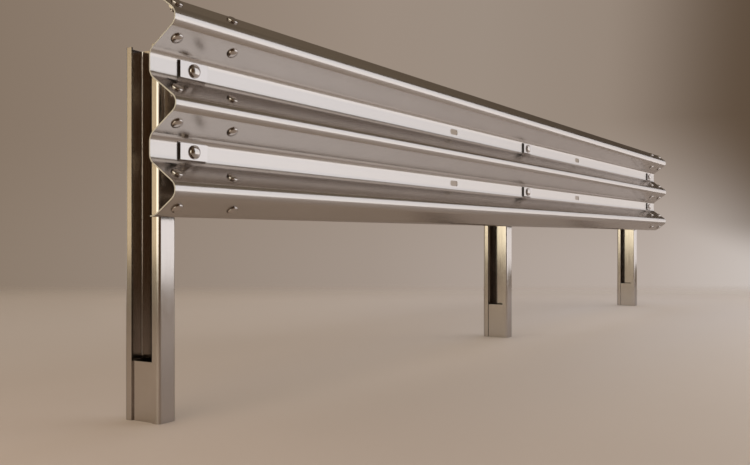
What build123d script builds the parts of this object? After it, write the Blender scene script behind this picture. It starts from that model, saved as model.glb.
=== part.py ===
"""Highway guardrail section: a three-crest steel rail bolted through spacers to three lipped channel posts.

X runs along the road, -Y faces the traffic and +Z is up, in millimetres. The origin is at the ground line of the
middle post, on the line of its rail bolts and halfway through the thickness of its front flange.
"""
import os
from math import acos, atan2, cos, hypot, pi, sin, sqrt, tan

from build123d import *

# Bays
POST_COUNT = 3
BAY = 2138
RAIL_OVERHANG = 137  # rail beyond the bolt line of an end post

# Rail: one rolled sheet with three crests and two flat valleys
RAIL_T = 3
RAIL_HEIGHT = 508
CREST_PITCH = 194
CREST_DEPTH = 81  # from the valley faces out to the crests
CREST_RADIUS = 24
OUTER_CREST_RADIUS = 27  # top and bottom crests, rounder and so a little shallower
VALLEY_HEIGHT = 54  # between the corners where the slants would meet the face
VALLEY_RADIUS = 25
EDGE_LIP = 14  # from the corner where the slant would meet the level lip
EDGE_RADIUS = 34

# Rail holes
SLOT_LENGTH = 60
SLOT_WIDTH = 20
SPARE_SLOT_REACH = 713  # spare slots on each side of their own middle
SPARE_SLOT_MIDDLE = -20  # from the bolt line of the middle post
SPLICE_HOLE_D = 18
SPLICE_REACH = 95  # splice hole columns on each side of an end post's bolt line
SPLICE_OFFSET = 40  # splice holes above and below each crest line

# Post: lipped channel, open on its -X side
POST_HEIGHT = 926
POST_TOP_RISE = 171  # post top above the rail's centre line
POST_WIDTH = 58
POST_DEPTH = 119
POST_LIP = 24
POST_T = 5
POST_RADIUS = 9

# Foot sleeve: plain channel inside the post, with its web behind the post's lips
SLEEVE_HEIGHT = 148
SLEEVE_T = 5
SLEEVE_RADIUS = 9
SLEEVE_FLANGE = 38
SLEEVE_CLEARANCE = 0.3

# Spacer: plain channel between the rail and the post, open on its -X side
SPACER_DEPTH = 79
SPACER_WIDTH = 44
SPACER_HEIGHT = 300
SPACER_T = 5
SPACER_RADIUS = 8

# Fasteners
BOLT_D = 16
BOLT_CLEARANCE = 1
BOLT_TAIL = 6  # shank beyond its nut
HEAD_D = 34
HEAD_RIM = 1.5
HEAD_CORNER = 0.65  # radius between the rim and the flatter crown, over the dome's rise
HEAD_DOME = 8.5
NUT_ACROSS_FLATS = 24
NUT_HEIGHT = 13
THREAD_CLEARANCE = 0.1
PLATE_LENGTH = 93
PLATE_HEIGHT = 40
PLATE_T = 6
PLATE_CLEARANCE = 0.1  # between the eased back of a plate and the valley's round corners
POST_HEAD_D = 28
POST_HEAD_DOME = 8

# Places that follow from the sizes
RAIL_CENTRE_Z = POST_HEIGHT - POST_TOP_RISE
POST_FRONT_Y = -POST_T / 2
SPACER_FRONT_Y = POST_FRONT_Y - SPACER_DEPTH
VALLEY_Y = SPACER_FRONT_Y - RAIL_T
RAIL_LENGTH = (POST_COUNT - 1) * BAY + 2 * RAIL_OVERHANG
POST_XS = [BAY * (i - (POST_COUNT - 1) / 2) for i in range(POST_COUNT)]
CREST_ZS = [RAIL_CENTRE_Z + CREST_PITCH * i for i in (1, 0, -1)]
VALLEY_ZS = {"upper": RAIL_CENTRE_Z + CREST_PITCH / 2, "lower": RAIL_CENTRE_Z - CREST_PITCH / 2}
BOLT_HOLE_D = BOLT_D + 2 * BOLT_CLEARANCE

# A slant runs from a valley corner and touches the round middle crest
SLANT_RISE = (CREST_PITCH - VALLEY_HEIGHT) / 2
CREST_CENTRE_DEPTH = CREST_DEPTH - CREST_RADIUS
SLANT = acos(CREST_RADIUS / hypot(SLANT_RISE, CREST_CENTRE_DEPTH)) - atan2(CREST_CENTRE_DEPTH, SLANT_RISE)
VALLEY_FLAT = VALLEY_HEIGHT - 2 * VALLEY_RADIUS * tan((pi / 2 - SLANT) / 2)


def slant_y(offset):
    """Y of a slant's front face, at a height above or below its crest line."""
    return VALLEY_Y - (SLANT_RISE - offset) / tan(SLANT)


def rail_section():
    """Sheet section in the YZ plane, from the top edge to the bottom edge."""
    top, bottom = RAIL_CENTRE_Z + RAIL_HEIGHT / 2, RAIL_CENTRE_Z - RAIL_HEIGHT / 2
    edge_y = slant_y(top - CREST_ZS[0])
    corners = [(edge_y + EDGE_LIP, top), (edge_y, top)]
    radii = [EDGE_RADIUS]
    for crest_z, valley_z, radius in zip(CREST_ZS, VALLEY_ZS.values(), (OUTER_CREST_RADIUS, CREST_RADIUS)):
        corners += [(slant_y(0), crest_z)]
        corners += [(VALLEY_Y, valley_z + VALLEY_HEIGHT / 2), (VALLEY_Y, valley_z - VALLEY_HEIGHT / 2)]
        radii += [radius, VALLEY_RADIUS, VALLEY_RADIUS]
    corners += [(slant_y(0), CREST_ZS[-1]), (edge_y, bottom), (edge_y + EDGE_LIP, bottom)]
    radii += [OUTER_CREST_RADIUS, EDGE_RADIUS]
    front = FilletPolyline(*corners, radius=radii)
    return Plane.YZ * make_face(offset(front, amount=RAIL_T, side=Side.LEFT))


def slot_cutter(x, z):
    """Slot along X through a valley of the rail."""
    place = Plane(origin=(x, VALLEY_Y, z), x_dir=(1, 0, 0), z_dir=(0, 1, 0))
    return place * extrude(SlotOverall(SLOT_LENGTH, SLOT_WIDTH), amount=2 * RAIL_T, both=True)


def splice_cutter(x, crest_z, side):
    """Round hole square to a slant, above (side 1) or below (side -1) a crest."""
    out = (0, -sin(SLANT), side * cos(SLANT))
    place = Plane(origin=(x, slant_y(SPLICE_OFFSET), crest_z + side * SPLICE_OFFSET), z_dir=out)
    return place * Cylinder(SPLICE_HOLE_D / 2, 4 * RAIL_T)


def rail_panel():
    """Rail with post bolt slots, spare slots and the splice holes of both ends."""
    rail = extrude(rail_section(), amount=RAIL_LENGTH / 2, both=True)
    slot_xs = POST_XS + [SPARE_SLOT_MIDDLE - SPARE_SLOT_REACH, SPARE_SLOT_MIDDLE + SPARE_SLOT_REACH]
    rail -= [slot_cutter(x, z) for x in slot_xs for z in VALLEY_ZS.values()]
    splice_xs = [x + reach for x in (POST_XS[0], POST_XS[-1]) for reach in (-SPLICE_REACH, SPLICE_REACH)]
    rail -= [splice_cutter(x, z, side) for x in splice_xs for z in CREST_ZS for side in (1, -1)]
    return rail


def bent_strip(corners, radius, thickness):
    """Section of a bent strip, from its outer corners in counterclockwise order seen from above."""
    outer = FilletPolyline(*corners, radius=radius)
    return make_face(offset(outer, amount=thickness, side=Side.LEFT))


def bolt_bore(x, y, z):
    """Bolt hole along Y through the one flange at this place."""
    return Pos(x, y, z) * Rot(90, 0, 0) * Cylinder(BOLT_HOLE_D / 2, 3 * POST_T)


def post(x):
    """Lipped channel with its web on the +X side and a bolt hole at each valley."""
    left, right = x - POST_WIDTH / 2, x + POST_WIDTH / 2
    front, back = POST_FRONT_Y, POST_FRONT_Y + POST_DEPTH
    corners = [(left, front + POST_LIP), (left, front), (right, front)]
    corners += [(right, back), (left, back), (left, back - POST_LIP)]
    channel = extrude(bent_strip(corners, POST_RADIUS, POST_T), amount=POST_HEIGHT)
    return channel - [bolt_bore(x, front, z) for z in VALLEY_ZS.values()]


def foot_sleeve(x):
    """Channel that closes the foot of a post, with its web against the inside of the lips."""
    left = x - POST_WIDTH / 2 + POST_T
    right = left + SLEEVE_FLANGE
    front = POST_FRONT_Y + POST_T + SLEEVE_CLEARANCE
    back = POST_FRONT_Y + POST_DEPTH - POST_T - SLEEVE_CLEARANCE
    corners = [(right, back), (left, back), (left, front), (right, front)]
    return extrude(bent_strip(corners, SLEEVE_RADIUS, SLEEVE_T), amount=SLEEVE_HEIGHT)


def spacer(x):
    """Channel between the rail and a post, with its web flush with the post's web."""
    right = x + POST_WIDTH / 2
    left = right - SPACER_WIDTH
    front, back = SPACER_FRONT_Y, POST_FRONT_Y
    corners = [(left, front), (right, front), (right, back), (left, back)]
    channel = extrude(bent_strip(corners, SPACER_RADIUS, SPACER_T), amount=SPACER_HEIGHT)
    channel = Pos(0, 0, RAIL_CENTRE_Z - SPACER_HEIGHT / 2) * channel
    return channel - [bolt_bore(x, y, z) for y in (front, back) for z in VALLEY_ZS.values()]


def facing_traffic(x, y, z):
    """Place for a fastener, with its own Z towards the traffic."""
    return Plane(origin=(x, y, z), x_dir=(1, 0, 0), z_dir=(0, -1, 0))


def plate_washer():
    """Rectangular plate under the head of a rail bolt, its back eased clear of the valley's round corners."""
    edge, seat = PLATE_HEIGHT / 2, VALLEY_FLAT / 2
    ease = VALLEY_RADIUS - sqrt(VALLEY_RADIUS**2 - (edge - seat) ** 2) + PLATE_CLEARANCE
    corners = [(-seat, 0), (seat, 0), (edge, ease), (edge, PLATE_T), (-edge, PLATE_T), (-edge, ease)]
    section = Plane.YZ * make_face(Polyline(*corners, close=True))
    return extrude(section, amount=PLATE_LENGTH / 2, both=True) - Cylinder(BOLT_HOLE_D / 2, 3 * PLATE_T)


def dome_bolt(head_d, dome, grip):
    """Bolt whose head has a round corner and a flatter crown, standing on Z = 0 with its nut a grip below."""
    corner = HEAD_CORNER * dome
    inset = head_d / 2 - corner
    crown_radius = (inset**2 + dome**2 - corner**2) / (2 * (dome - corner))
    turn = atan2(inset, crown_radius - dome)
    foot = (head_d / 2, 0)
    rim = (head_d / 2, HEAD_RIM)
    crown = (0, HEAD_RIM + dome)
    join = (crown_radius * sin(turn), crown[1] - crown_radius * (1 - cos(turn)))
    curves = [TangentArc(rim, join, tangent=(0, 1)), TangentArc(crown, join, tangent=(1, 0))]
    edges = [Line((0, 0), foot), Line(foot, rim), *curves, Line(crown, (0, 0))]
    head = revolve(Plane.XZ * make_face(edges), axis=Axis.Z)
    shank_length = grip + NUT_HEIGHT + BOLT_TAIL
    return head + Cylinder(BOLT_D / 2, shank_length, align=(Align.CENTER, Align.CENTER, Align.MAX))


def hex_nut():
    """Plain nut standing on Z = 0, turned so that two flats are upright."""
    prism = extrude(RegularPolygon(NUT_ACROSS_FLATS / 2, 6, major_radius=False), amount=NUT_HEIGHT)
    return prism - Cylinder(BOLT_D / 2 + THREAD_CLEARANCE, 3 * NUT_HEIGHT)


def build_nodes():
    """Every named piece of the section."""
    nodes = {"rail_panel": rail_panel()}
    plate_front_y = VALLEY_Y - PLATE_T
    rail_grip = PLATE_T + RAIL_T + SPACER_T
    spacer_head_y = POST_FRONT_Y - SPACER_T
    spacer_grip = SPACER_T + POST_T
    for number, x in enumerate(POST_XS, start=1):
        nodes[f"post_{number}"] = post(x)
        nodes[f"foot_sleeve_{number}"] = foot_sleeve(x)
        nodes[f"spacer_{number}"] = spacer(x)
        for level, z in VALLEY_ZS.items():
            tag = f"{number}_{level}"
            nodes[f"plate_washer_{tag}"] = facing_traffic(x, VALLEY_Y, z) * plate_washer()
            rail_head = facing_traffic(x, plate_front_y, z)
            nodes[f"rail_bolt_{tag}"] = rail_head * dome_bolt(HEAD_D, HEAD_DOME, rail_grip)
            nodes[f"rail_nut_{tag}"] = rail_head * Pos(0, 0, -rail_grip - NUT_HEIGHT) * hex_nut()
            post_head = facing_traffic(x, spacer_head_y, z)
            nodes[f"post_bolt_{tag}"] = post_head * dome_bolt(POST_HEAD_D, POST_HEAD_DOME, spacer_grip)
            nodes[f"post_nut_{tag}"] = post_head * Pos(0, 0, -spacer_grip - NUT_HEIGHT) * hex_nut()
    return nodes


os.makedirs("parts", exist_ok=True)
for node, shape in build_nodes().items():
    export_step(shape, f"parts/{node}.step")
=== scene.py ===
"""Steel finishes, splice fasteners and studio for a highway guardrail section.

Metres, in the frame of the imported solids: X runs along the road, -Y faces the traffic and +Z is up.
"""

from math import acos, atan2, cos, hypot, pi, radians, sin, tan

import bpy
import numpy as np
from bpy.props import FloatProperty, FloatVectorProperty, PointerProperty
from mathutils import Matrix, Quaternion, Vector


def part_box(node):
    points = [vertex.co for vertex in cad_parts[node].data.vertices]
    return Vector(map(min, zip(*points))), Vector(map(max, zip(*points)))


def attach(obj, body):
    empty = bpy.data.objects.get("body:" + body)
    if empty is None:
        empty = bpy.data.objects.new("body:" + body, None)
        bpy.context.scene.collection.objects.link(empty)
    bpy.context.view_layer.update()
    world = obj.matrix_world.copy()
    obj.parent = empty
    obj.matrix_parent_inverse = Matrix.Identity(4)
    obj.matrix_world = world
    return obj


bl_info = {
    "name": "Highway Guardrail Section",
    "version": (1, 0, 0),
    "blender": (4, 5, 0),
    "location": "3D View > Sidebar > Guardrail",
    "description": "Finishes a guardrail section and adds its splice fasteners and studio",
    "category": "Add Mesh",
}

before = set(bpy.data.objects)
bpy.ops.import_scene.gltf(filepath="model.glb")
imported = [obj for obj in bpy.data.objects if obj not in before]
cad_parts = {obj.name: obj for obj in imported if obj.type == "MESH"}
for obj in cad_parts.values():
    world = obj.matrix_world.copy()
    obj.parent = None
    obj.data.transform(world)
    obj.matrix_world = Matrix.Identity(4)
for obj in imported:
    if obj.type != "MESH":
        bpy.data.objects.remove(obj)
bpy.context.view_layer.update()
POSTS = ("post_1", "post_2", "post_3")
END_POSTS = {"left": "post_1", "right": "post_3"}

# Small sizes of the splice fasteners
EDGE_BREAK = 0.0004  # turned off the underside of a bolt head
THREAD_DEPTH = 0.61  # of the pitch
TIP_CHAMFER = 0.0015  # length of thread that the tip's chamfer takes
TIP_TAPER = 0.0013  # taken off the radius at the tip
BORE_CLEARANCE = 0.0001
BORE_CHAMFER = 0.0008
NUT_FACE = 0.96  # round face of a nut, of its width across flats
NUT_CORNER_STEPS = (0.0, 0.0003, 0.0007, 0.0011, 0.0015, 0.0019)  # from each end face

FLOOR_REACH = 30.0


def length(name, description, default):
    """A length in metres that a user can change."""
    return FloatProperty(name=name, description=description, default=default, min=0.0, unit="LENGTH")


def colour(name, description, default):
    """A linear colour that a user can change."""
    return FloatVectorProperty(
        name=name, description=description, default=default, size=3, min=0.0, max=4.0, subtype="COLOR"
    )


def factor(name, description, default):
    """A number from 0 to 1 that a user can change."""
    return FloatProperty(
        name=name, description=description, default=default, min=0.0, max=1.0, subtype="FACTOR"
    )


class GuardrailSplice(bpy.types.PropertyGroup):
    """Sizes of the splice fasteners and of the rail section that they sit on."""

    crest_pitch: length("Crest pitch", "Height from one crest to the next", 0.194)
    crest_depth: length("Crest depth", "Depth from the valley faces out to the crests", 0.081)
    crest_radius: length("Crest radius", "Outer radius of a crest", 0.024)
    valley_height: length("Valley height", "Height of a valley face between its corners", 0.054)
    sheet: length("Sheet", "Thickness of the rail sheet", 0.003)
    reach: length("Reach", "Distance of a splice column from its post's bolt line", 0.095)
    offset: length("Offset", "Height of a splice bolt above or below its crest line", 0.040)
    bolt: length("Bolt", "Outside diameter of the thread", 0.016)
    pitch: length("Thread pitch", "Advance of the thread in one turn", 0.002)
    head: length("Head", "Diameter of the round head", 0.029)
    rim: length("Rim", "Height of the head's straight rim", 0.0015)
    dome: length("Dome", "Rise of the head above its rim", 0.0066)
    across_flats: length("Across flats", "Width of a nut between two flats", 0.024)
    nut: length("Nut", "Height of a nut", 0.013)
    tail: length("Tail", "Thread that shows beyond a nut", 0.006)


class GuardrailFinish(bpy.types.PropertyGroup):
    """Colours and gloss of the steel finishes."""

    rail: colour("Rail", "Zinc of the rolled rail", (0.492, 0.455, 0.424))
    post: colour("Posts", "Zinc of the posts, sleeves and spacers", (0.483, 0.443, 0.415))
    plate: colour("Plates", "Zinc of the plate washers", (0.512, 0.474, 0.447))
    bolt: colour("Bolts", "Zinc of the bolts and nuts", (0.488, 0.446, 0.415))
    rail_roughness: factor("Rail roughness", "Roughness of the rolled rail", 0.19)
    post_roughness: factor("Post roughness", "Roughness of the drawn post steel", 0.13)
    plate_roughness: factor("Plate roughness", "Roughness of the plate washers", 0.20)
    bolt_roughness: factor("Bolt roughness", "Roughness of the bolts and nuts", 0.12)
    edge: length("Edge", "Rounding that the light finds along cut edges", 0.0007)


class GuardrailStudio(bpy.types.PropertyGroup):
    """Floor, lights and camera."""

    floor: colour("Floor", "Colour of the floor", (0.65, 0.575, 0.51))
    softbox: colour("Softbox", "Light of the long softbox on the traffic side", (1.53, 1.577, 1.684))
    window: colour("Window", "Warm light beyond the left end", (2.19, 2.12, 1.81))
    lamp: colour("Lamp", "Yellow light beside the window", (2.10, 1.96, 1.47))
    glow: colour("Glow", "Golden light beyond the lamp", (0.78, 0.62, 0.38))
    overhead: colour("Overhead", "Soft light from above that falls on the floor", (0.70, 0.635, 0.570))
    near: colour("Near", "Light from above on the floor by the near post", (1.56, 1.18, 0.95))
    front: colour("Front", "Light from above on the floor of the traffic side", (1.44, 1.49, 1.58))
    far: colour("Far", "Cool light from above on the floor beyond", (0.92, 1.42, 2.25))
    lens: FloatProperty(name="Lens", description="Focal length in millimetres", default=41.665, min=10.0)
    shift: FloatProperty(name="Shift", description="Rise of the frame over the level view", default=0.00644)
    eye: FloatVectorProperty(
        name="Eye",
        description="Place of the camera",
        default=(-3.6827, -1.5501, 0.4542),
        size=3,
        subtype="XYZ",
    )
    heading: FloatProperty(
        name="Heading",
        description="Turn of the level camera from the road",
        default=radians(31.622),
        unit="ROTATION",
    )


# Shader trees


def put(tree, kind, inputs=None, **settings):
    """Adds a node with its settings, and the value or the link of each input."""
    node = tree.nodes.new(f"ShaderNode{kind}")
    for name, value in settings.items():
        setattr(node, name, value)
    for key, value in (inputs or {}).items():
        if isinstance(value, bpy.types.NodeSocket):
            tree.links.new(value, node.inputs[key])
        else:
            node.inputs[key].default_value = value
    return node


def ramp(tree, value, stops):
    """Colour that follows a value through (place, colour) stops."""
    node = put(tree, "ValToRGB", {"Fac": value})
    elements = node.color_ramp.elements
    elements[0].position, elements[0].color = stops[0][0], (*stops[0][1], 1.0)
    elements[1].position, elements[1].color = stops[-1][0], (*stops[-1][1], 1.0)
    for place, tint in stops[1:-1]:
        elements.new(place).color = (*tint, 1.0)
    return node.outputs["Color"]


def between(tree, value, low, high, to_low=0.0, to_high=1.0, smooth=False):
    """Maps a value from one range to another, and holds it at the ends."""
    kind = "SMOOTHSTEP" if smooth else "LINEAR"
    inputs = {"Value": value, "From Min": low, "From Max": high, "To Min": to_low, "To Max": to_high}
    return put(tree, "MapRange", inputs, interpolation_type=kind).outputs["Result"]


def math(tree, operation, first, second=0.0):
    """One sum or product of two values."""
    return put(tree, "Math", {0: first, 1: second}, operation=operation).outputs[0]


def mix(tree, amount, first, second):
    """Colour between two colours."""
    inputs = {"Factor": amount, "A": first, "B": second}
    node = tree.nodes.new("ShaderNodeMix")
    node.data_type = "RGBA"
    for socket in node.inputs:
        if socket.enabled and socket.name in inputs:
            value = inputs[socket.name]
            if isinstance(value, bpy.types.NodeSocket):
                tree.links.new(value, socket)
            else:
                socket.default_value = value if socket.name == "Factor" else (*value, 1.0)
    return next(socket for socket in node.outputs if socket.enabled)


def noise(tree, place, scale, stretch=(1.0, 1.0, 1.0), detail=3.0, roughness=0.5):
    """Value noise on the object's own coordinates, stretched along an axis by a small factor."""
    placed = put(tree, "Mapping", {"Vector": place, "Scale": stretch}).outputs["Vector"]
    inputs = {"Vector": placed, "Scale": scale, "Detail": detail, "Roughness": roughness}
    return put(tree, "TexNoise", inputs).outputs["Fac"]


def dot(tree, first, second):
    """How far one direction runs along another."""
    return put(tree, "VectorMath", {0: first, 1: second}, operation="DOT_PRODUCT").outputs["Value"]


def blank_material(name):
    """A material with an empty shader tree."""
    material = bpy.data.materials.new(name)
    material.use_nodes = True
    material.node_tree.nodes.clear()
    return material


def shaded(tint, amount):
    """A colour made lighter or darker by a factor."""
    return tuple(channel * amount for channel in tint)


def zinc(name, tint, roughness, grain, edge, ends=0.72):
    """Galvanised steel: grain along one axis, faint spangle, dull patches, painted shade on traffic faces,
    bright edges.
    """
    material = blank_material(name)
    tree = material.node_tree
    coordinates = put(tree, "TexCoord")
    place = coordinates.outputs["Object"]

    # Fine rolling lines, far longer along the grain than across it
    lines = noise(tree, place, 260.0, grain, 4.0, 0.65)
    broad_lines = noise(tree, place, 40.0, grain, 2.0, 0.5)
    # Zinc crystals about 9 mm across, all but even in tone
    crystals = put(tree, "TexVoronoi", {"Vector": place, "Scale": 110.0}, feature="F1")
    crystal = put(tree, "SeparateColor", {"Color": crystals.outputs["Color"]}).outputs["Red"]
    # Weathered patches a hand across
    patches = noise(tree, place, 7.0, detail=5.0, roughness=0.6)

    # Cut edges are rubbed bright where the rounded normal leaves the true one
    rounded = put(tree, "Bevel", {"Radius": edge}, samples=4).outputs["Normal"]
    true_normal = put(tree, "NewGeometry").outputs["Normal"]
    rubbed = between(tree, dot(tree, rounded, true_normal), 0.995, 0.90)

    base = mix(tree, between(tree, patches, 0.30, 0.70), shaded(tint, 0.97), shaded(tint, 1.03))
    base = mix(tree, math(tree, "MULTIPLY", crystal, 0.08), base, shaded(tint, 0.85))
    base = mix(tree, math(tree, "MULTIPLY", rubbed, 0.5), base, shaded(tint, 1.15))
    # Painted shade: faces towards the traffic, which face the softbox, are darkened
    outward = put(tree, "SeparateXYZ", {"Vector": coordinates.outputs["Normal"]}).outputs["Y"]
    base = mix(tree, between(tree, outward, -0.70, -0.97), base, shaded(tint, 0.825))
    gloss = between(tree, lines, 0.25, 0.75, roughness - 0.035, roughness + 0.045)
    gloss = math(tree, "ADD", gloss, between(tree, patches, 0.35, 0.75, -0.01, 0.025))
    # Sheared ends across the grain are dull: partly the cut steel's own tone, partly painted shade
    if min(grain) < max(grain):
        across = tuple(float(stretch == min(grain)) for stretch in grain)
        facing = dot(tree, coordinates.outputs["Normal"], across)
        sheared = between(tree, math(tree, "ABSOLUTE", facing), 0.85, 0.98)
        base = mix(tree, sheared, base, shaded(tint, ends))
        gloss = math(tree, "ADD", gloss, math(tree, "MULTIPLY", sheared, 0.12))
    gloss = math(tree, "ADD", gloss, math(tree, "MULTIPLY", crystal, 0.02))

    height = math(tree, "ADD", math(tree, "MULTIPLY", lines, 0.35), math(tree, "MULTIPLY", broad_lines, 0.65))
    bumped = put(tree, "Bump", {"Strength": 0.10, "Distance": 0.0004, "Height": height, "Normal": rounded})
    skin = put(
        tree,
        "BsdfPrincipled",
        {
            "Base Color": base,
            "Metallic": 1.0,
            "Roughness": gloss,
            "Specular Tint": (0.68, 0.65, 0.63, 1.0),
            "Normal": bumped.outputs["Normal"],
        },
    )
    output = put(tree, "OutputMaterial", {"Surface": skin.outputs["BSDF"]})
    tree.nodes.active = output
    return material


def dress(nodes, material):
    """Gives these CAD nodes one finish."""
    for name in nodes:
        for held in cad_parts[name].material_slots:
            held.material = material


# Fasteners


def grid_faces(rows, columns):
    """Quads of a grid whose columns close into a ring."""
    row, column = np.meshgrid(np.arange(rows - 1), np.arange(columns), indexing="ij")
    here, beside = row * columns + column, row * columns + (column + 1) % columns
    return np.stack([here, beside, beside + columns, here + columns], axis=-1).reshape(-1, 4)


def smooth_mesh(name, points, quads, caps, sharp):
    """Mesh from points, quads and polygon caps, smooth except across edges sharper than an angle."""
    mesh = bpy.data.meshes.new(name)
    mesh.from_pydata(points.tolist(), [], quads.tolist() + [list(cap) for cap in caps])
    mesh.polygons.foreach_set("use_smooth", np.ones(len(mesh.polygons), dtype=bool))
    mesh.set_sharp_from_angle(angle=sharp)
    mesh.update()
    return mesh


def ring_points(radius, height, turn):
    """Points of a surface of rings: radius(row, turn) out from the axis and height(row) along it."""
    radius = np.broadcast_to(radius, (len(height), len(turn)))
    height = np.broadcast_to(height[:, None], radius.shape)
    return np.stack([radius * np.cos(turn), radius * np.sin(turn), height], axis=-1).reshape(-1, 3)


def bolt_rings(sizes, grip, columns=32):
    """Round-headed bolt standing on its head's underside, with its thread running down.

    The head is a rim below a half ellipse: at an angle a from the crown, the radius is half the head times
    sin a and the height is the rim plus the dome times cos a. The thread is the shank's radius less a
    triangle wave of (height / pitch + turn), which fades in below the nut's face and ends in a chamfer.
    """
    turn = np.linspace(0.0, 2.0 * pi, columns, endpoint=False)
    half = sizes.head / 2
    angle = pi / 2 * np.linspace(0.03, 1.0, 18)
    dome_r = half * np.sin(angle)
    dome_h = sizes.rim + sizes.dome * np.cos(angle)
    rim_r = np.array([half, half - EDGE_BREAK])
    rim_h = np.array([EDGE_BREAK, 0.0])

    bottom = -(grip + sizes.nut + sizes.tail)
    step = sizes.pitch / 4
    shank_h = np.arange(0.0, bottom + 0.25 * step, -step)
    shank_r = np.full_like(shank_h, sizes.bolt / 2)
    fade = np.clip((-shank_h - 0.5 * grip) / sizes.pitch, 0.0, 1.0)
    chamfer = np.clip((shank_h - bottom) / TIP_CHAMFER, 0.0, 1.0)
    wave = np.abs(((shank_h[:, None] / sizes.pitch + turn / (2 * pi)) % 1.0) * 2.0 - 1.0)
    depth = THREAD_DEPTH * sizes.pitch * fade[:, None] * wave
    thread = (shank_r - TIP_TAPER * (1.0 - chamfer))[:, None] - depth

    head = np.repeat(np.concatenate([dome_r, rim_r])[:, None], columns, axis=1)
    radius = np.concatenate([head, thread])
    height = np.concatenate([dome_h, rim_h, shank_h])
    return radius, height, turn


def nut_rings(sizes, columns=48):
    """Hexagonal nut standing on zero, with both ends of its corners turned off at 30 degrees.

    The outside is the smaller of the hexagon, whose radius is half the flats over the cosine of the turn
    from the nearest flat, and a cone that widens from each end face. The rings close through the bore.
    """
    turn = np.linspace(0.0, 2.0 * pi, columns, endpoint=False)
    half = sizes.across_flats / 2
    hexagon = half / np.cos((turn + pi / 6) % (pi / 3) - pi / 6)
    bore = np.full(columns, sizes.bolt / 2 + BORE_CLEARANCE)
    mouth = np.full(columns, sizes.bolt / 2 + BORE_CLEARANCE + BORE_CHAMFER)
    face = NUT_FACE * half
    into = np.array(NUT_CORNER_STEPS)
    heights = np.concatenate([into, sizes.nut - into[::-1]])
    cone = face + np.minimum(heights, sizes.nut - heights) * tan(radians(60))
    outside = np.minimum(hexagon[None, :], cone[:, None])
    rings_r = [bore, mouth, *outside, mouth, bore, bore]
    rings_h = [BORE_CHAMFER, 0.0, *heights, sizes.nut, sizes.nut - BORE_CHAMFER, BORE_CHAMFER]
    return np.array(rings_r), np.array(rings_h), turn


def stand(points, seat, out):
    """Turns points so that their Z runs along out, and moves them to a seat."""
    up = np.array(out) / np.linalg.norm(out)
    side = np.array([1.0, 0.0, 0.0])
    across = np.cross(up, side)
    return points @ np.array([side, across, up]) + np.array(seat)


def splice_places(sizes, post):
    """Seat and outward axis of each splice bolt round one end post.

    Each sits on the front face of a slant, the line that touches the crest's arc and ends at the valley face.
    The slant's angle is the arc cosine of the crest's radius over the distance from the crest's centre to the
    valley's corner, less the angle under which that corner lies.
    """
    post_low, post_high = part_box(post)
    rail_low, rail_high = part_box("rail_panel")
    spacer_low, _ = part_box(post.replace("post", "spacer"))
    rise = (sizes.crest_pitch - sizes.valley_height) / 2
    centre_depth = sizes.crest_depth - sizes.crest_radius
    slant = acos(sizes.crest_radius / hypot(rise, centre_depth)) - atan2(centre_depth, rise)
    seat_y = spacer_low.y - sizes.sheet - (rise - sizes.offset) / tan(slant)
    places = []
    for column in (-1, 1):
        x = (post_low.x + post_high.x) / 2 + column * sizes.reach
        for crest in (1, 0, -1):
            crest_z = (rail_low.z + rail_high.z) / 2 + crest * sizes.crest_pitch
            for side in (1, -1):
                seat = (x, seat_y, crest_z + side * sizes.offset)
                places.append((seat, (0.0, -sin(slant), side * cos(slant))))
    return places


def bolt_mesh(name, sizes, grip, places):
    """One mesh of like bolts, each with a closed crown and tip."""
    radius, height, turn = bolt_rings(sizes, grip)
    rings, columns = radius.shape
    flat = ring_points(radius, height, turn)
    quads = grid_faces(rings, columns)
    crown, tip = np.arange(columns), ((rings - 1) * columns + np.arange(columns))[::-1]
    points, faces, caps = [], [], []
    for number, (seat, out) in enumerate(places):
        points.append(stand(flat, seat, out))
        faces.append(quads[:, ::-1] + number * len(flat))
        caps += [crown + number * len(flat), tip + number * len(flat)]
    return smooth_mesh(name, np.concatenate(points), np.concatenate(faces), caps, radians(32))


def nut_mesh(name, sizes, grip, places):
    """One mesh of like nuts, each against the back of what its bolt holds."""
    radius, height, turn = nut_rings(sizes)
    rings, columns = radius.shape
    flat = ring_points(radius, height, turn) - np.array([0.0, 0.0, grip + sizes.nut])
    quads = grid_faces(rings, columns)
    points = [stand(flat, seat, out) for seat, out in places]
    faces = [quads + number * len(flat) for number in range(len(places))]
    return smooth_mesh(name, np.concatenate(points), np.concatenate(faces), [], radians(28))


def add_piece(mesh, material):
    """Links a finished piece, which rides with the section."""
    piece = bpy.data.objects.new(mesh.name, mesh)
    bpy.context.scene.collection.objects.link(piece)
    mesh.materials.append(material)
    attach(piece, "root")
    return piece


def bolt_finish():
    """The finish of every bolt and nut, made once."""
    finish = bpy.context.scene.guardrail_finish
    made = bpy.data.materials.get("bolt_zinc")
    grain = (1.0, 1.0, 1.0)
    return made or zinc("bolt_zinc", finish.bolt[:], finish.bolt_roughness, grain, finish.edge)


# Operators


class GUARDRAIL_OT_rail(bpy.types.Operator):
    """Give the rail its rolled zinc finish, with the grain along the road"""

    bl_idname = "guardrail.rail"
    bl_label = "Rail finish"

    def execute(self, context):
        finish = context.scene.guardrail_finish
        grain = (0.02, 1.0, 1.0)
        dress(["rail_panel"], zinc("rail_zinc", finish.rail[:], finish.rail_roughness, grain, finish.edge))
        return {"FINISHED"}


class GUARDRAIL_OT_posts(bpy.types.Operator):
    """Give the posts, foot sleeves and spacers their drawn zinc finish, with the grain upright"""

    bl_idname = "guardrail.posts"
    bl_label = "Post finish"

    def execute(self, context):
        finish = context.scene.guardrail_finish
        grain = (1.0, 1.0, 0.02)
        material = zinc("post_zinc", finish.post[:], finish.post_roughness, grain, finish.edge)
        names = [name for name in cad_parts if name.startswith(("foot_sleeve", "spacer"))]
        dress([*POSTS, *names], material)
        return {"FINISHED"}


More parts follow.
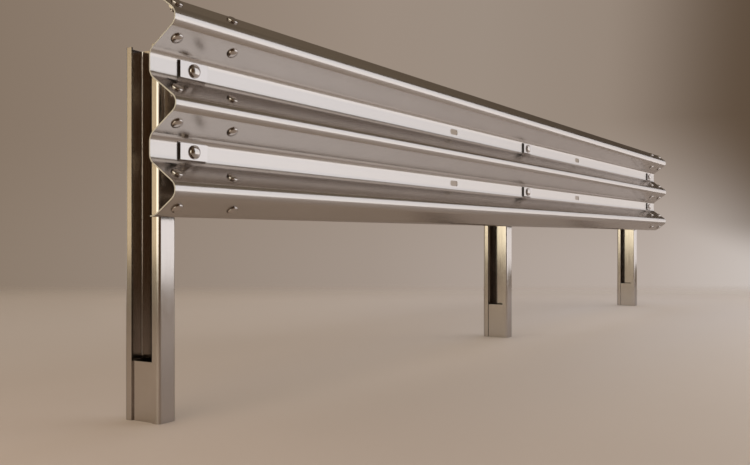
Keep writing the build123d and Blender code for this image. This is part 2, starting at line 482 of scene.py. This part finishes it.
class GUARDRAIL_OT_plates(bpy.types.Operator):
    """Give the plate washers their zinc finish, with the grain along the plate"""

    bl_idname = "guardrail.plates"
    bl_label = "Plate finish"

    def execute(self, context):
        finish = context.scene.guardrail_finish
        grain = (0.1, 1.0, 1.0)
        # Their ends are darkened far more: painted shade on the plates' sides
        material = zinc("plate_zinc", finish.plate[:], finish.plate_roughness, grain, finish.edge, 0.25)
        dress([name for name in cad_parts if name.startswith("plate_washer")], material)
        return {"FINISHED"}


class GUARDRAIL_OT_bolts(bpy.types.Operator):
    """Give the rail bolts, post bolts and their nuts their zinc finish"""

    bl_idname = "guardrail.bolts"
    bl_label = "Bolt finish"

    def execute(self, context):
        kinds = ("rail_bolt", "rail_nut", "post_bolt", "post_nut")
        dress([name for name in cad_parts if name.startswith(kinds)], bolt_finish())
        return {"FINISHED"}


class GUARDRAIL_OT_splices(bpy.types.Operator):
    """Add the splice bolts and nuts at both ends of the rail"""

    bl_idname = "guardrail.splices"
    bl_label = "Splice bolts and nuts"

    def execute(self, context):
        sizes = context.scene.guardrail_splice
        for end, post in END_POSTS.items():
            places = splice_places(sizes, post)
            bolts = bolt_mesh(f"splice_bolts_{end}", sizes, sizes.sheet, places)
            nuts = nut_mesh(f"splice_nuts_{end}", sizes, sizes.sheet, places)
            for mesh in (bolts, nuts):
                add_piece(mesh, bolt_finish())
        return {"FINISHED"}


def floor_material(tint, ahead):
    """Plain floor with a faint mottle, which gives way to the backdrop behind and far around the section."""
    material = blank_material("studio_floor")
    tree = material.node_tree
    place = put(tree, "TexCoord").outputs["Object"]
    mottle = noise(tree, place, 1.3, detail=4.0)
    base = mix(tree, mottle, shaded(tint, 0.985), shaded(tint, 1.015))
    cloth = put(tree, "BsdfPrincipled", {"Base Color": base, "Roughness": 0.55, "Specular IOR Level": 0.25})
    clear = put(tree, "BsdfTransparent")
    depth = dot(tree, place, (*ahead, 0.0))
    outward = put(tree, "VectorMath", {0: place}, operation="LENGTH").outputs["Value"]
    behind = between(tree, depth, 2.2, 4.6, smooth=True)
    around = between(tree, outward, 4.2, 6.4, smooth=True)
    fade = math(tree, "MAXIMUM", behind, around)
    shown = put(tree, "MixShader", {0: fade, 1: cloth.outputs["BSDF"], 2: clear.outputs["BSDF"]})
    put(tree, "OutputMaterial", {"Surface": shown.outputs["Shader"]})
    return material


def panel_light(name, centre, aim, width, height, light, roll=0.0):
    """Area light of a given radiance, hidden from the camera and rolled about its own axis."""
    data = bpy.data.lights.new(name, "AREA")
    data.shape = "RECTANGLE"
    data.size, data.size_y = width, height
    peak = max(light)
    data.color = [channel / peak for channel in light]
    data.energy = pi * width * height * peak
    lamp = bpy.data.objects.new(name, data)
    bpy.context.scene.collection.objects.link(lamp)
    lamp.location = centre
    facing = Vector(aim).to_track_quat("-Z", "Y")
    lamp.rotation_euler = (facing @ Quaternion((0.0, 0.0, 1.0), roll)).to_euler()
    lamp.visible_camera = False
    return lamp


def world_light(heading):
    """Room that the steel reflects, and the plain backdrop that only the camera sees.

    The room is warm below, darker above the level of the wall and darkest behind the camera, with paler
    ground beyond the right end and a pale field beyond the posts that only gloss shows. The backdrop holds
    painted light: it brightens across the view, most near the floor, and falls away into a painted shadow
    in the dark upper corner. Away from the view it is plain.
    """
    world = bpy.data.worlds.new("studio")
    world.use_nodes = True
    tree = world.node_tree
    tree.nodes.clear()
    facing = put(tree, "TexCoord").outputs["Generated"]
    height = put(tree, "SeparateXYZ", {"Vector": facing}).outputs["Z"]

    def toward(direction):
        return dot(tree, facing, direction)

    room = ramp(
        tree,
        between(tree, height, -1.0, 1.0),
        [
            (0.30, (0.420, 0.350, 0.254)),
            (0.47, (0.360, 0.297, 0.211)),
            (0.52, (0.310, 0.249, 0.174)),
            (0.56, (0.150, 0.114, 0.081)),
            (0.62, (0.090, 0.066, 0.048)),
            (0.70, (0.188, 0.147, 0.106)),
            (0.78, (0.262, 0.212, 0.156)),
            (0.84, (0.212, 0.171, 0.126)),
        ],
    )
    behind = between(tree, toward((-0.5, -0.866, 0.0)), 0.70, 0.92, smooth=True)
    room = mix(tree, behind, room, (0.13, 0.072, 0.034))
    below = between(tree, height, -0.03, -0.12)
    ground = math(tree, "MULTIPLY", between(tree, toward((1.0, 0.0, 0.0)), 0.80, 0.95), below)
    room = mix(tree, ground, room, (0.54, 0.465, 0.415))
    paths = put(tree, "LightPath").outputs
    field = between(tree, toward((0.0, 1.0, 0.0)), 0.88, 0.98, smooth=True)
    room = mix(tree, math(tree, "MULTIPLY", field, paths["Is Glossy Ray"]), room, (0.85, 0.79, 0.73))

    across = toward((sin(heading), -cos(heading), 0.0))
    place = between(tree, across, -0.4, 0.4)
    # Painted light on the backdrop: brighter across the view and towards the floor
    low = ramp(
        tree,
        place,
        [
            (0.0, (0.262, 0.202, 0.153)),
            (0.5, (0.360, 0.294, 0.248)),
            (0.88, (0.48, 0.41, 0.366)),
            (1.0, (0.575, 0.515, 0.475)),
        ],
    )
    high = ramp(
        tree,
        place,
        [
            (0.0, (0.240, 0.182, 0.136)),
            (0.5, (0.330, 0.263, 0.213)),
            (0.65, (0.330, 0.267, 0.218)),
            (0.85, (0.300, 0.238, 0.190)),
        ],
    )
    up = between(tree, height, -0.04, 0.14, smooth=True)
    wall = mix(tree, up, low, high)
    rise = math(tree, "MULTIPLY", math(tree, "MINIMUM", height, 0.13), 0.6)
    rise = math(tree, "ADD", rise, between(tree, height, -0.03, 0.02, -0.025, 0.025, smooth=True))
    # Painted shadow: the backdrop darkens into its upper corner, where no light falls
    corner = between(tree, math(tree, "ADD", across, rise), 0.345, 0.50, smooth=True)
    wall = mix(tree, corner, wall, (0.112, 0.076, 0.050))
    elsewhere = mix(tree, up, (0.37, 0.31, 0.26), (0.33, 0.27, 0.22))
    ahead = between(tree, toward((cos(heading), sin(heading), 0.0)), 0.60, 0.88, smooth=True)
    backdrop = mix(tree, ahead, elsewhere, wall)
    colours = mix(tree, paths["Is Camera Ray"], room, backdrop)
    background = put(tree, "Background", {"Color": colours, "Strength": 1.0})
    put(tree, "OutputWorld", {"Surface": background.outputs["Background"]})
    bpy.context.scene.world = world


class GUARDRAIL_OT_studio(bpy.types.Operator):
    """Add the floor, the room and the lights"""

    bl_idname = "guardrail.studio"
    bl_label = "Studio"

    def execute(self, context):
        studio = context.scene.guardrail_studio
        ahead = (cos(studio.heading), sin(studio.heading))
        signs = ((-1, -1), (1, -1), (1, 1), (-1, 1))
        corners = [(x * FLOOR_REACH, y * FLOOR_REACH, 0.0) for x, y in signs]
        mesh = bpy.data.meshes.new("studio_floor")
        mesh.from_pydata(corners, [], [(0, 1, 2, 3)])
        mesh.materials.append(floor_material(studio.floor[:], ahead))
        floor = bpy.data.objects.new("studio_floor", mesh)
        context.scene.collection.objects.link(floor)

        facing = (-0.1775, 0.984, 0.0)
        softbox = panel_light("softbox", (3.45, -1.637, 1.26), facing, 9.65, 2.2, studio.softbox[:], -0.0082)
        beyond = (1.0, 0.0, 0.0)
        window = panel_light("window", (-4.6, -0.15, 1.455), beyond, 2.3, 2.29, studio.window[:])
        lamp = panel_light("lamp", (-4.6, 1.6, 1.455), beyond, 1.2, 2.29, studio.lamp[:])
        glow = panel_light("glow", (-4.6, 2.65, 1.455), beyond, 0.9, 2.29, studio.glow[:])
        for light in (softbox, window, lamp, glow):
            light.visible_diffuse = False
        down = (0.0, 0.0, -1.0)
        overhead = panel_light("overhead", (1.4, 1.5, 5.0), down, 12.0, 9.0, studio.overhead[:])
        near = panel_light("near", (-3.3, 0.0, 1.8), down, 1.2, 1.2, studio.near[:])
        front = panel_light("front", (2.0, -2.5, 2.5), down, 6.0, 2.0, studio.front[:])
        far = panel_light("far", (2.2, 0.1, 3.0), down, 1.6, 1.6, studio.far[:])
        for light in (overhead, near, front, far):
            light.visible_glossy = False
        world_light(studio.heading)
        context.scene.view_settings.view_transform = "Standard"
        return {"FINISHED"}


class GUARDRAIL_OT_camera(bpy.types.Operator):
    """Add the level camera beyond the left end, on the traffic side"""

    bl_idname = "guardrail.camera"
    bl_label = "Camera"

    def execute(self, context):
        studio = context.scene.guardrail_studio
        data = bpy.data.cameras.new("camera")
        data.sensor_width = 36.0
        data.lens = studio.lens
        data.shift_y = studio.shift
        data.clip_start, data.clip_end = 0.05, 200.0
        camera = bpy.data.objects.new("camera", data)
        context.scene.collection.objects.link(camera)
        camera.location = studio.eye
        camera.rotation_euler = (radians(90), 0.0, studio.heading - radians(90))
        context.scene.camera = camera
        return {"FINISHED"}


class GUARDRAIL_PT_sidebar(bpy.types.Panel):
    """Lists the steps that finish the section"""

    bl_label = "Guardrail"
    bl_idname = "GUARDRAIL_PT_sidebar"
    bl_space_type = "VIEW_3D"
    bl_region_type = "UI"
    bl_category = "Guardrail"

    def draw(self, context):
        for step in STEPS:
            self.layout.operator(step.bl_idname)
        for group in GROUPS:
            box = self.layout.box()
            held = getattr(context.scene, group)
            for name in GROUPS[group].__annotations__:
                box.prop(held, name)


STEPS = (
    GUARDRAIL_OT_rail,
    GUARDRAIL_OT_posts,
    GUARDRAIL_OT_plates,
    GUARDRAIL_OT_bolts,
    GUARDRAIL_OT_splices,
    GUARDRAIL_OT_studio,
    GUARDRAIL_OT_camera,
)
GROUPS = {
    "guardrail_splice": GuardrailSplice,
    "guardrail_finish": GuardrailFinish,
    "guardrail_studio": GuardrailStudio,
}


def register():
    """Makes the properties, operators and panel known to Blender."""
    for made in (*GROUPS.values(), *STEPS, GUARDRAIL_PT_sidebar):
        bpy.utils.register_class(made)
    for name, group in GROUPS.items():
        setattr(bpy.types.Scene, name, PointerProperty(type=group))


def unregister():
    """Takes the properties, operators and panel out again."""
    for name in GROUPS:
        delattr(bpy.types.Scene, name)
    for made in (GUARDRAIL_PT_sidebar, *reversed(STEPS), *reversed(GROUPS.values())):
        bpy.utils.unregister_class(made)


def main():
    """Finishes the section."""
    register()
    bpy.ops.guardrail.rail()
    bpy.ops.guardrail.posts()
    bpy.ops.guardrail.plates()
    bpy.ops.guardrail.bolts()
    bpy.ops.guardrail.splices()
    bpy.ops.guardrail.studio()
    bpy.ops.guardrail.camera()


if __name__ == "__main__":
    main()
